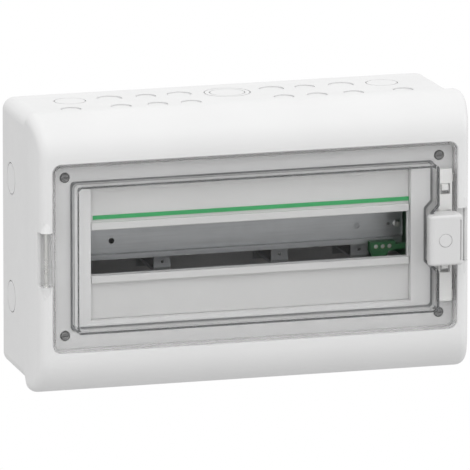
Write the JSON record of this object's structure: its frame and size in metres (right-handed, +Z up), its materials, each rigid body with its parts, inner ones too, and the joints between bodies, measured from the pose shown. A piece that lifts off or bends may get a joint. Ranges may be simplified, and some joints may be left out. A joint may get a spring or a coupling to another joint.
{
  "type": "breaker panel box",
  "caption": "Wall-mounted breaker panel box with a raised clear door, pull handle, DIN rail, aperture mask and cable knock-outs.",
  "frame": {"origin": "centre of the four wall screw holes, on the back face", "axes": "+Z up, +X to the right seen from the front, -Y out of the wall towards the user"},
  "size_m": [0.448, 0.1697, 0.28],
  "materials": {
    "housing": "fine spark-eroded texture, very light grey",
    "mask": "fine satin texture, light grey",
    "label_green": "smooth extruded strip, mid green",
    "seal": "foamed polyurethane, dark grey",
    "galvanised_steel": "zinc plated, drawn along its length",
    "bracket_grey": "moulded, mid grey",
    "screw_steel": "bright zinc plated",
    "screw_grey": "moulded glass-filled nylon, dark grey",
    "carrier_green": "moulded nylon, dark green",
    "brass": "machined",
    "latch_white": "smooth acetal, off-white",
    "handle_white": "satin moulded, near white",
    "clear_smoke": "clear polycarbonate with a faint grey tint"
  },
  "bodies": {
    "root": {"rear_box": "housing", "box_gasket": "seal", "wall_screw_caps": "mask", "screw_sockets": "brass", "din_rail": "galvanised_steel", "rail_posts": "bracket_grey", "rail_feet": "bracket_grey", "rail_screws": "screw_steel", "terminal_carrier": "carrier_green", "terminal_bar": "brass", "terminal_screws": "screw_steel", "front_cover": "housing", "aperture_mask": "mask", "mask_clips": "mask", "label_strip": "label_green", "window_gasket": "seal", "latch_hooks": "latch_white", "hinge_pin": "screw_steel", "screw_seals": "seal"},
    "door": {"door_window": "clear_smoke", "bar_guides": "latch_white", "handle_pin": "screw_steel"},
    "latch": {"latch_bar": "latch_white"},
    "pull_handle": {"handle": "handle_white", "button_spring": "screw_steel"},
    "button": {"lock_button": "handle_white"},
    "screw_top_left": {"cover_screw_top_left": "screw_grey"},
    "screw_top_right": {"cover_screw_top_right": "screw_grey"},
    "screw_bottom_left": {"cover_screw_bottom_left": "screw_grey"},
    "screw_bottom_right": {"cover_screw_bottom_right": "screw_grey"}
  },
  "joints": [
    {"name": "door_hinge", "type": "hinge", "parent": "root", "child": "door", "pos_m": [-0.2135, -0.145, 0], "axis": [0, 0, -1], "range_deg": [0, 130]},
    {"name": "handle_pivot", "type": "hinge", "parent": "door", "child": "pull_handle", "pos_m": [0.1995, -0.154, 0], "axis": [0, 0, 1], "range_deg": [0, 35]},
    {"name": "bar_slide", "type": "slide", "parent": "door", "child": "latch", "axis": [0, 0, 1], "range_m": [0, 0.004]},
    {"name": "button_push", "type": "slide", "parent": "pull_handle", "child": "button", "axis": [0, 1, 0], "range_m": [0, 0.003], "stiffness_N_per_m": 400, "springref_m": -0.001, "deforming": ["button_spring"]},
    {"name": "cover_screw_top_left_turn", "type": "hinge", "parent": "root", "child": "screw_top_left", "pos_m": [-0.192, -0.135, 0.0796], "axis": [0, 1, 0], "range_deg": [0, 90]},
    {"name": "cover_screw_top_right_turn", "type": "hinge", "parent": "root", "child": "screw_top_right", "pos_m": [0.192, -0.135, 0.0796], "axis": [0, 1, 0], "range_deg": [0, 90]},
    {"name": "cover_screw_bottom_left_turn", "type": "hinge", "parent": "root", "child": "screw_bottom_left", "pos_m": [-0.192, -0.135, -0.0796], "axis": [0, 1, 0], "range_deg": [0, 90]},
    {"name": "cover_screw_bottom_right_turn", "type": "hinge", "parent": "root", "child": "screw_bottom_right", "pos_m": [0.192, -0.135, -0.0796], "axis": [0, 1, 0], "range_deg": [0, 90]}
  ],
  "couplings": [
    {"joint": "bar_slide", "follows": "handle_pivot", "m_per_rad": 0.0065}
  ]
}
